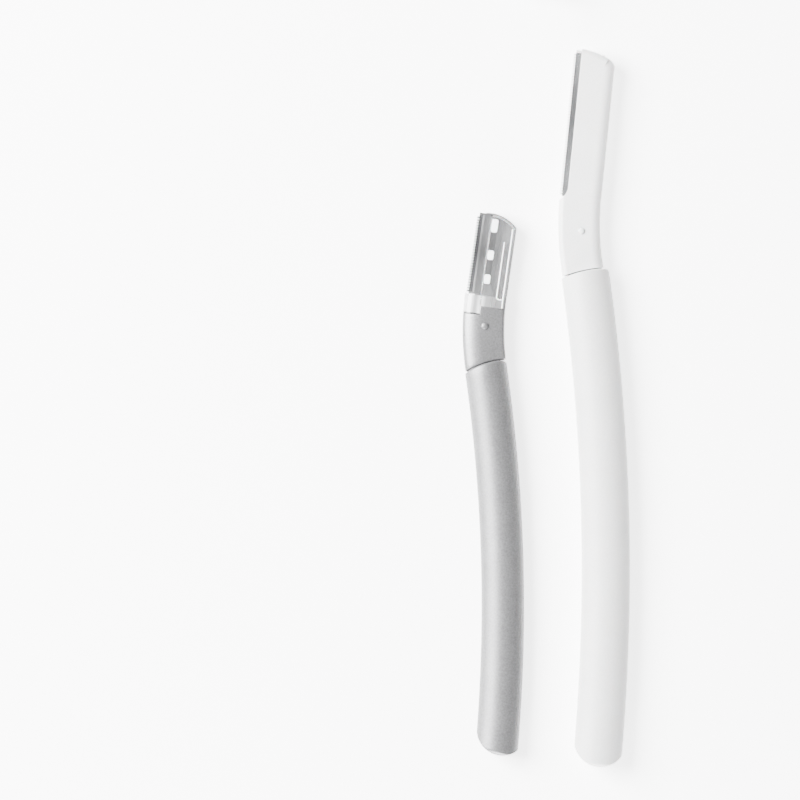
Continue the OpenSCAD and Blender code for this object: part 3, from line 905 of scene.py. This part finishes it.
    def shell(self, name: str) -> Skin:
        """Lays the shell from the bottom of its bore, over the mouth and down to the closed end.

        Args:
            name: The piece's name.

        Returns:
            The shell's mesh, ready to be dressed.
        """
        skin = Skin(name)
        half, inner = self.width / 2, self.width / 2 - self.wall
        wide, narrow = self.spread(-half, half), self.spread(-inner, inner)
        foot = self.upper - self.tang - self.bore_gap
        for along in ([foot] * len(narrow), [self.mouth(x) for x in narrow]):
            skin.ring(self.bore_ring(narrow, along))
        skin.close(0)
        top, under = [self.top(x) for x in wide], [self.under(x) for x in wide]
        run, drop = self.shoulder
        past = [max(0.0, x - half + run) / run for x in wide]
        lip = [self.mouth(x) - drop * (1 - math.sqrt(1 - share**2)) for x, share in zip(wide, past)]
        for angle in between(QUARTER_TURN, 0.0, self.lip_steps):
            inset = self.mouth_round * (1 - math.cos(angle))
            back = self.mouth_round * (1 - math.sin(angle))
            squat = 1 - inset / (self.thickness / 2)
            skin.ring(self.outline([x * (1 - inset / half) for x in wide], [place - back for place in lip],
                                   [height * squat for height in top], [height * squat for height in under]))
        start = self.upper - self.fade_widths * self.width
        for share in between(1.0, 0.0, self.fade_steps)[1:-1]:
            skin.ring(self.outline(wide, [start + (place - self.mouth_round - start) * share
                                          for place in lip], top, under))
        count = round((start + self.lower) / self.pitch)
        for along in between(start, self.end_lead - self.lower, count - 1):
            skin.ring(self.outline(wide, [along] * len(wide), top, under))
        for angle in between(0.0, QUARTER_TURN, self.end_steps):
            skin.ring(self.end_ring(self.end_radius * math.sin(angle)))
        return skin


@dataclass(frozen=True)
class NeckForm:
    """Sizes of a neck in millimetres: broadly rounded along one side, from the grip's mouth to its step."""

    head: HeadFrame
    grip: GripForm
    width: float
    thickness: float
    left_round: Span
    right_round: Span
    seam_gap: float
    step_place: float
    step_left: float
    step_right: float
    step_clear: float = 0.05
    fall: float = 0.3
    fall_start: float = -1.0
    plug_inset: float = 0.35
    side_play: float = 0.1
    tang_lap: float = 1.0
    tang_steps: int = 2
    edge_round: float = 0.2
    edge_steps: int = 4
    columns: int = 44
    steps: int = 20
    seam_reach: float = 2.5
    halvings: int = 50

    def half(self, u: float) -> float:
        """Half of the thickness at a place across the neck.

        Args:
            u: The place.

        Returns:
            The half thickness in millimetres.
        """
        half, height = self.width / 2, self.thickness / 2
        for inside, (run, depth) in ((u + half, self.left_round), (half - u, self.right_round)):
            if inside < run:
                rise = math.sqrt(max(0.0, 1 - ((run - inside) / run) ** 2))
                height = min(height, self.thickness / 2 - depth + depth * rise)
        return height - self.fall * (max(0.0, u - self.fall_start) / (half - self.fall_start)) ** 2

    def seam(self, u: float) -> float:
        """Place along the neck where it meets the grip's arched mouth.

        Args:
            u: The place across the neck.

        Returns:
            The place along it.
        """
        grip = self.grip
        centre = grip.place(grip.mouth_shift, grip.upper - grip.mouth_radius, 0.0).xy
        low, high = -self.seam_reach * self.width, 0.0
        for _ in range(self.halvings):
            middle = (low + high) / 2
            reach = (self.head.place(u, middle, 0.0).xy - centre).length / MM
            low, high = (middle, high) if reach < grip.mouth_radius + self.seam_gap else (low, middle)
        return (low + high) / 2

    def ring(self, across: Sequence[float], along: Sequence[float],
             heights: Sequence[float]) -> list[Vector]:
        """Ring of points through the columns, over the top to the right and under it to the left."""
        below = [self.head.place(u, v, -height) for u, v, height in zip(across, along, heights)]
        return [self.head.place(*column) for column in zip(across, along, heights)] + below[::-1]

    def shell(self, name: str) -> Skin:
        """Lays the neck from its seam to its step, and the flat tang that fills the grip's bore.

        Args:
            name: The piece's name.

        Returns:
            The neck's mesh.
        """
        skin = Skin(name)
        half, bend = self.width / 2, self.head.bend
        low, high = (bend - math.hypot(bend - self.step_place, rise)
                     for rise in (self.step_left, self.step_right))
        spread = [-half * math.cos(angle) for angle in between(0.0, math.pi, self.columns)]
        across = sorted([u for u in spread if not low - self.step_clear < u < high + self.step_clear]
                        + [low, high])
        heights = [self.half(u) for u in across]
        seam = [self.seam(u) for u in across]
        step = [bend * math.asin((self.step_left if u <= low else self.step_right) / (bend - u))
                for u in across]
        corner = [(1 - self.edge_round * (1 - math.sin(a)) / half, self.edge_round * (1 - math.cos(a)))
                  for a in between(0.0, QUARTER_TURN, self.edge_steps)]
        plug = 1 - self.plug_inset / half
        for shrink, back in [(plug, -self.seam_gap), (plug, 0.0)] + corner:
            squat = 1 - (1 - shrink) * half / (self.thickness / 2)
            skin.ring(self.ring([u * shrink for u in across], [v + back for v in seam],
                                [height * squat for height in heights]))
        routes = [between(start + self.edge_round, end - self.edge_round / 2, self.steps)
                  for start, end in zip(seam, step)]
        for along in list(zip(*routes))[1:]:
            skin.ring(self.ring(across, along, heights))
        shrink = corner[1][0]
        skin.ring(self.ring([u * shrink for u in across], step, [height * shrink for height in heights]))
        skin.zip(0, -1)
        grip = self.grip
        inner = grip.width / 2 - grip.wall - self.side_play
        narrow = grip.spread(-inner, inner)
        foot = grip.upper - grip.tang
        skin.start()
        for share in between(0.0, 1.0, self.tang_steps):
            skin.ring(grip.bore_ring(narrow, [foot + (grip.mouth(x) + self.tang_lap - foot) * share
                                              for x in narrow]))
        skin.close(0, -1)
        return skin


@dataclass
class LargeRazor:
    """The large white razor."""

    body: str = "large_razor"
    head: HeadFrame = HeadFrame(origin_mm=(-5.854, 86.046, 3.7), lean_deg=5.75, bend=66.7)
    grip: GripForm = GripForm(
        width=11.1, thickness=7.4, bow=490.0, upper=69.1, lower=39.4, wall=1.5, side_round=2.6,
        under_round=1.6, end_radius=6.1, end_shift=0.27, mouth_radius=30.0, mouth_shift=2.7, tang=24.0,
        tang_thickness=2.8)
    stud: Stud = Stud(centre=(0.45, -8.2), radius=0.73, height=0.5)
    neck_thickness: float = 4.2
    bevel_end: float = -3.1
    # ground edge tone: grinding finish and painted shade
    ground_and_shade: Colour = (0.42, 0.423, 0.43)

    def build(self) -> None:
        """Lays the grip's shell and the stud's dome."""
        satin = SatinWhite().make()
        # the frame's finish paints deep shade into grooves such as the seam
        smooth = SatinWhite("smooth_white_plastic", colour=(0.66, 0.66, 0.656), shade=(0.64, 0.64, 0.636),
                            grain_mm=0.3, grain_depth_mm=0.006, groove_shade=0.05).make()
        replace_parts(self.grip.shell("large_grip_shell").make(satin, self.body, Slot.WHITE), "large_grip")
        stud = self.stud.dome("large_stud_dome", self.head, self.neck_thickness / 2)
        stud.make(smooth, self.body, Slot.WHITE)
        for node in ("large_frame", "large_back_cheek"):
            dress(node, smooth)
        steel = GroundSteel("large_blade_steel", self.head, self.bevel_end, self.ground_and_shade)
        dress("large_blade", steel.make())
        dress("large_guard", MilkyTeeth().make())


@dataclass
class SmallRazor:
    """The small silver-grey razor with its clear head.

    Places on the head are pairs of u and v in millimetres, and each bead is a pair of depth and radius.
    """

    body: str = "small_razor"
    head: HeadFrame = HeadFrame(origin_mm=(-27.622, 63.413, 3.3), lean_deg=8.15, bend=60.6)
    grip: GripForm = GripForm(
        width=9.8, thickness=6.6, bow=382.0, upper=56.3, lower=28.5, wall=1.4, side_round=2.3,
        under_round=1.4, end_radius=5.95, end_shift=0.96, mouth_radius=18.5, mouth_shift=3.3, tang=20.0,
        tang_thickness=2.6, offset=(-23.75, -8.4))
    stud: Stud = Stud(centre=(0.25, -7.45), radius=0.83, height=0.45)
    neck_thickness: float = 3.9
    neck: NeckForm = NeckForm(
        head, grip, width=9.62, thickness=3.82, left_round=(4.4, 1.7), right_round=(0.6, 0.6), seam_gap=0.25,
        step_place=-0.8, step_left=-5.0, step_right=-3.0)
    bevel_end: float = -3.25
    teeth_end: float = -3.9
    slot_left: float = 2.5
    slot_top: float = 12.2
    slot_foot: float = -1.0
    slot_end: float = 3.7
    slot_round: float = 0.6
    slot_steps: int = 12
    slot_bead: Span = (0.05, 0.15)
    spine: tuple[Span, Span] = ((4.0, 15.4), (4.0, -2.9))
    spine_bead: Span = (0.05, 0.18)
    cheek: tuple[Span, Span] = ((-1.1, -2.6), (-1.1, 17.4))
    cheek_bead: Span = (0.06, 0.135)
    long_steps: int = 20
    ribs: tuple[float, ...] = (1.4, 2.3)
    rib_span: Span = (-0.7, -2.95)
    rib_steps: int = 9
    rib_bead: Span = (0.03, 0.09)
    crown_centre: Span = (-1.6, 9.5)
    crown_reach: float = 8.55
    crown_turn: Span = (84.0, 46.0)
    crown_steps: int = 19
    crown_bead: Span = (0.16, 0.24)
    corner_steps: int = 5
    windows: tuple[Span, ...] = ((3.35, 2.14), (8.93, 2.14), (15.77, 3.04))
    window_sides: Span = (-0.95, 0.44)
    lug_corner: float = 0.45
    lug_layers: tuple[Span, ...] = ((0.93, 0.0), (0.97, 0.0), (0.985, 0.05))

    def beaded(self, name: str, beads: Sequence[Bead]) -> Skin:
        """Mesh of rounded edges on the clear head.

        Args:
            name: The piece's name.
            beads: The edges.

        Returns:
            The mesh.
        """
        skin = Skin(name)
        for bead in beads:
            bead.lay(skin, self.head, self.neck_thickness / 2)
        return skin

    def edges(self) -> list[Bead]:
        """Edges of the clear head that carry painted highlights: the slot beside the spine and the long edge
        to the neck.

        Returns:
            The edges.
        """
        low = self.slot_foot + self.slot_round
        corner = arc((self.slot_left + self.slot_round, low), self.slot_round,
                     2 * QUARTER_TURN, 3 * QUARTER_TURN, self.corner_steps)
        route = straight((self.slot_left, self.slot_top), (self.slot_left, low), self.slot_steps)
        route += corner[1:] + [(self.slot_end, self.slot_foot)]
        return [Bead(route, *self.slot_bead), Bead(straight(*self.spine, self.long_steps), *self.spine_bead)]

    def soft_edges(self) -> list[Bead]:
        """Edges of the clear head that carry fainter painted highlights: the front cheek's free edge, the
        ribs of the foot and the crown.

        Returns:
            The edges.
        """
        start, end = self.rib_span
        ribs = [straight((rib, start), (rib, end), self.rib_steps) for rib in self.ribs]
        crown = arc(self.crown_centre, self.crown_reach,
                    *(math.radians(angle) for angle in self.crown_turn), self.crown_steps)
        return [Bead(straight(*self.cheek, self.long_steps), *self.cheek_bead),
                *(Bead(rib, *self.rib_bead) for rib in ribs), Bead(crown, *self.crown_bead)]

    def lugs(self) -> Skin:
        """Rounded faces of the three lugs that stand in the blade's windows.

        Returns:
            The mesh.
        """
        skin = Skin("small_lug_faces")
        for middle, long in self.windows:
            skin.start()
            for height, inset in self.lug_layers:
                back = inset + self.lug_corner
                left, right = self.window_sides[0] + back, self.window_sides[1] - back
                low, high = middle - long / 2 + back, middle + long / 2 - back
                points: list[Span] = []
                for i, corner in enumerate([(right, high), (left, high), (left, low), (right, low)]):
                    points += arc(corner, self.lug_corner, i * QUARTER_TURN, (i + 1) * QUARTER_TURN,
                                  self.corner_steps)
                skin.ring([self.head.place(u, v, height) for u, v in points])
            skin.close(0, -1)
        return skin

    def build(self) -> None:
        """Lays the grip's and the neck's shells, the stud's dome and the clear head's edges."""
        grey = SilverGrey().make()
        neck = SilverGrey("silver_grey_neck_plastic", rough=(0.3, 0.38)).make()
        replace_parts(self.grip.shell("small_grip_shell").make(grey, self.body, Slot.GREY), "small_grip")
        stud = self.stud.dome("small_stud_dome", self.head, self.neck_thickness / 2)
        stud.make(grey, self.body, Slot.GREY)
        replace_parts(self.neck.shell("small_neck_shell").make(neck, self.body, Slot.GREY), "small_neck")
        # painted highlights on the clear head's edges, bright and faint
        painted_highlight = ClearEdge().make()
        # the lug faces glow with painted light, as if the table's light came up through them
        painted_glow_lug = ClearEdge("clear_plastic_lug_painted_glow", glow=4.0).make()
        painted_soft_highlight = ClearEdge("clear_plastic_soft_edge_painted_highlight", colour=(0.36, 0.364, 0.368), solid=0.42).make()
        self.beaded("small_holder_edges", self.edges()).make(painted_highlight, self.body, Slot.CLEAR)
        self.lugs().make(painted_glow_lug, self.body, Slot.CLEAR)
        self.beaded("small_cheek_edges", self.soft_edges()).make(painted_soft_highlight, self.body, Slot.CLEAR)
        dress("small_holder", ClearPlastic("clear_plastic", self.head).make())
        # the back cheek's deep grey is painted shade over the blade seen through it
        shaded_back = ClearPlastic("clear_plastic_back_painted_shade", self.head, tone=0.19, body=0.96, rim=0.99)
        dress("small_back_cheek", shaded_back.make())
        dress("small_blade", GroundSteel("small_blade_steel", self.head, self.bevel_end).make())
        dress("small_guard", EtchedSteel(self.head, self.teeth_end).make())


@dataclass
class Caps:
    """The two sleeve caps."""

    nodes: tuple[str, ...] = ("large_cap", "small_cap")

    def build(self) -> None:
        """Gives both caps their finish."""
        milky = MilkyPlastic().make()
        for node in self.nodes:
            dress(node, milky)


@dataclass(frozen=True)
class Lamp:
    """Soft square lamp: where it hangs, what it points at and its side in metres, and its power."""

    name: str
    place: Triple
    aim: Triple
    size: float
    watts: float

    def hang(self) -> None:
        """Adds the lamp."""
        data = bpy.data.lights.new(self.name, "AREA")
        data.size = self.size
        data.energy = self.watts
        lamp = bpy.data.objects.new(self.name, data)
        lamp.location = self.place
        lamp.rotation_mode = "QUATERNION"
        lamp.rotation_quaternion = (Vector(self.aim) - Vector(self.place)).to_track_quat("-Z", "Y")
        bpy.context.scene.collection.objects.link(lamp)


@dataclass
class Studio:
    """Pale floor, soft light and the camera straight above."""

    scale_mm: float = 0.2304
    frame_px: float = 800.0
    origin_px: Span = (606.0, 569.0)
    lens_mm: float = 300.0
    sensor_mm: float = 36.0
    focus_mm: float = 3.5
    clip: Span = (0.01, 20.0)
    floor_size: float = 3.0
    floor_drop_mm: float = 0.02
    horizon: float = 1.5
    zenith: float = 0.45
    zenith_rise: float = 0.45
    lamps: tuple[Lamp, ...] = (Lamp("key", (-0.8, 0.34, 0.74), (-0.03, 0.04, 0.0), 0.8, 124.0),
                               Lamp("foot", (-0.1, -0.9, 0.14), (-0.05, -0.04, 0.0), 0.5, 45.0))

    def floor(self) -> None:
        """Lays the floor just under the razors."""
        mesh = bpy.data.meshes.new("floor")
        form = bmesh.new()
        bmesh.ops.create_grid(form, x_segments=8, y_segments=8, size=self.floor_size)
        form.to_mesh(mesh)
        form.free()
        floor = bpy.data.objects.new("floor", mesh)
        floor.location = (0.0, 0.0, -self.floor_drop_mm * MM)
        bpy.context.scene.collection.objects.link(floor)
        mesh.materials.append(PaleFloor().make())

    def light(self) -> None:
        """Sets a surround that is brightest near the horizon, and hangs the lamps."""
        world = bpy.data.worlds.new("surround")
        world.use_nodes = True
        tree = world.node_tree
        sky = tree.nodes["Background"]
        sky.inputs["Color"].default_value = (1.0, 1.0, 1.0, 1.0)
        way = tree.nodes.new("ShaderNodeTexCoord")
        parts = tree.nodes.new("ShaderNodeSeparateXYZ")
        tree.links.new(way.outputs["Generated"], parts.inputs[0])
        rise = tree.nodes.new("ShaderNodeMapRange")
        for name, value in (("From Min", 0.0), ("From Max", self.zenith_rise),
                            ("To Min", self.horizon), ("To Max", self.zenith)):
            rise.inputs[name].default_value = value
        tree.links.new(parts.outputs["Z"], rise.inputs["Value"])
        tree.links.new(rise.outputs[0], sky.inputs["Strength"])
        bpy.context.scene.world = world
        for lamp in self.lamps:
            lamp.hang()

    def camera(self) -> None:
        """Hangs the camera over the middle of the photograph's frame, looking straight down."""
        data = bpy.data.cameras.new("above")
        data.lens = self.lens_mm
        data.sensor_width = self.sensor_mm
        data.clip_start, data.clip_end = self.clip
        camera = bpy.data.objects.new("above", data)
        pixel = self.scale_mm * MM
        middle = self.frame_px / 2
        camera.location = ((middle - self.origin_px[0]) * pixel, (self.origin_px[1] - middle) * pixel,
                           self.frame_px * pixel * self.lens_mm / self.sensor_mm + self.focus_mm * MM)
        bpy.context.scene.collection.objects.link(camera)
        bpy.context.scene.camera = camera

    def build(self) -> None:
        """Sets up the floor, the light and the camera."""
        self.floor()
        self.light()
        self.camera()


def main() -> None:
    """Builds the scene piece by piece."""
    logging.basicConfig(level=logging.INFO, format="%(message)s")
    LargeRazor().build()
    SmallRazor().build()
    Caps().build()
    Studio().build()


if __name__ == "__main__":
    main()
